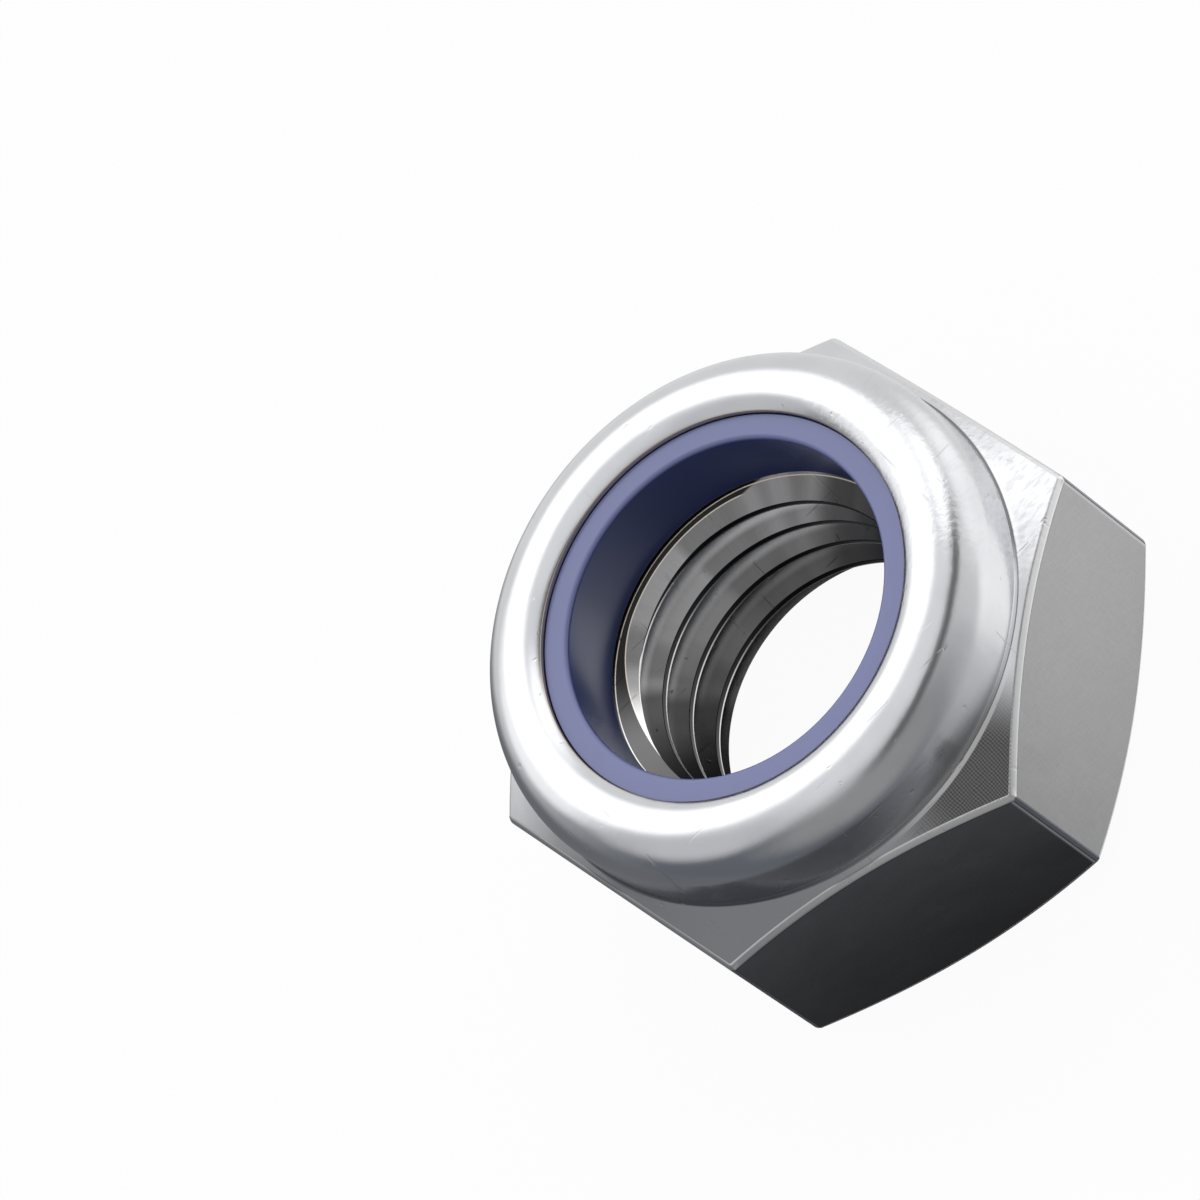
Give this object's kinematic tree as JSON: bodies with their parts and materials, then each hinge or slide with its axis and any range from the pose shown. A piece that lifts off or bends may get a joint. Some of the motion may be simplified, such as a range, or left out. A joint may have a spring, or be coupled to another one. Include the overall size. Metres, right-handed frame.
{
  "type": "lock nut",
  "caption": "Hexagon lock nut with chamfered ends, a round collar rolled over a blue-violet nylon ring, and a threaded bore.",
  "frame": {"origin": "centre of the bore on the bearing face", "axes": "+Z along the thread, from the bearing face towards the collar; X through two corners of the hexagon; Y square to two flats"},
  "size_m": [0.0252, 0.022, 0.013],
  "materials": {
    "zinc_steel": "satin, bright zinc plated",
    "nylon": "satin, moulded"
  },
  "bodies": {
    "root": {"nut_body": "zinc_steel", "nylon_insert": "nylon"}
  },
  "joints": []
}
